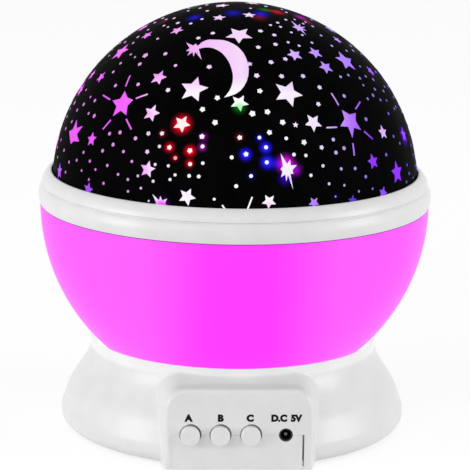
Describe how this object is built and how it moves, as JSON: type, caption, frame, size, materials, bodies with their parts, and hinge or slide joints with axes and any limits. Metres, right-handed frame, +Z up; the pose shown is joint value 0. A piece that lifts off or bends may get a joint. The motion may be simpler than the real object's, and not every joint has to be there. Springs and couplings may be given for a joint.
{
  "type": "star night light",
  "caption": "Table-top star night light: dark star-cut dome in a white ring, pink bowl that turns on a white flared base with push buttons and a DC socket.",
  "frame": {"origin": "on the table under the middle of the lamp", "axes": "+Z up along the axis that the bowl turns about; the control block faces -Y, so +X is to the right of someone who faces the controls"},
  "size_m": [0.1312, 0.1312, 0.1434],
  "materials": {
    "white_abs": "moulded ABS, soft gloss",
    "button_white": "moulded ABS, soft gloss",
    "pink_plastic": "polished polystyrene, high gloss",
    "dome_black": "clear plastic with a black coat and clear stars",
    "black_plastic": "moulded, matt",
    "grey_plastic": "moulded, matt",
    "gear_nylon": "moulded nylon",
    "circuit_board": "green solder mask",
    "rubber": "moulded rubber",
    "screw_steel": "zinc plated",
    "axle_steel": "ground pin",
    "motor_steel": "drawn steel can",
    "contact_metal": "nickel plated",
    "brass": "cut brass",
    "cell_jacket": "plain printed jacket",
    "wire_jacket": "PVC jacket",
    "led_red": "epoxy",
    "led_green": "epoxy",
    "led_blue": "epoxy",
    "led_white": "epoxy"
  },
  "bodies": {
    "base": {"base_shell": "white_abs", "bottom_plate": "white_abs", "base_screws": "screw_steel", "rubber_feet": "rubber", "battery_cells": "cell_jacket", "contact_plates": "contact_metal", "contact_springs": "contact_metal", "control_board": "circuit_board", "board_screws": "screw_steel", "switch_housings": "black_plastic", "dc_jack": "black_plastic", "dc_jack_pin": "contact_metal", "motor_can": "motor_steel", "motor_screws": "screw_steel", "gear_frame": "grey_plastic", "frame_screws": "screw_steel", "gear_axles": "axle_steel", "led_pillar": "white_abs", "pillar_screws": "screw_steel", "led_board": "circuit_board", "led_red": "led_red", "led_green": "led_green", "led_blue": "led_blue", "led_white": "led_white", "lamp_wires": "wire_jacket", "motor_wires": "wire_jacket", "battery_wires": "wire_jacket"},
    "bowl": {"bowl": "pink_plastic", "bowl_rim": "white_abs", "hub_gear": "gear_nylon", "hub_screws": "screw_steel"},
    "dome": {"star_dome": "dome_black"},
    "dome_ring": {"dome_ring": "white_abs"},
    "button_a": {"button_a": "button_white", "plunger_a": "grey_plastic"},
    "button_b": {"button_b": "button_white", "plunger_b": "grey_plastic"},
    "button_c": {"button_c": "button_white", "plunger_c": "grey_plastic"},
    "drive_gear": {"drive_gear": "gear_nylon"},
    "idler_gear": {"idler_gear": "gear_nylon"},
    "motor_shaft": {"motor_shaft": "axle_steel", "motor_pinion": "brass"},
    "battery_door": {"battery_door": "white_abs", "door_screws": "screw_steel"}
  },
  "joints": [
    {"name": "bowl_spin", "type": "hinge", "parent": "base", "child": "bowl", "pos_m": [0, 0, 0.0268], "axis": [0, 0, 1], "continuous": true},
    {"name": "dome_lift", "type": "slide", "parent": "bowl", "child": "dome", "axis": [0, 0, 1], "range_m": [0, 0.02]},
    {"name": "ring_twist", "type": "hinge", "parent": "dome", "child": "dome_ring", "pos_m": [0, 0, 0.084], "axis": [0, 0, 1], "range_deg": [0, 100.5]},
    {"name": "button_a_press", "type": "slide", "parent": "base", "child": "button_a", "axis": [0, 1, 0], "range_m": [0, 0.0008], "stiffness_N_per_m": 1000},
    {"name": "button_b_press", "type": "slide", "parent": "base", "child": "button_b", "axis": [0, 1, 0], "range_m": [0, 0.0008], "stiffness_N_per_m": 1000},
    {"name": "button_c_press", "type": "slide", "parent": "base", "child": "button_c", "axis": [0, 1, 0], "range_m": [0, 0.0008], "stiffness_N_per_m": 1000},
    {"name": "drive_gear_spin", "type": "hinge", "parent": "base", "child": "drive_gear", "pos_m": [0.03157, 0.01149, 0.02], "axis": [0, 0, 1], "continuous": true},
    {"name": "idler_gear_spin", "type": "hinge", "parent": "base", "child": "idler_gear", "pos_m": [0.03374, -0.00082, 0.018], "axis": [0, 0, 1], "continuous": true},
    {"name": "motor_spin", "type": "hinge", "parent": "base", "child": "motor_shaft", "pos_m": [0.03374, -0.01332, 0.012], "axis": [0, 0, 1], "continuous": true},
    {"name": "door_off", "type": "slide", "parent": "base", "child": "battery_door", "axis": [0, 0, -1], "range_m": [0, 0.012]}
  ],
  "couplings": [
    {"joint": "drive_gear_spin", "follows": "bowl_spin", "ratio": -6},
    {"joint": "idler_gear_spin", "follows": "bowl_spin", "ratio": 24},
    {"joint": "motor_spin", "follows": "bowl_spin", "ratio": -96},
    {"joint": "ring_twist", "follows": "dome_lift", "rad_per_m": 87.266}
  ]
}
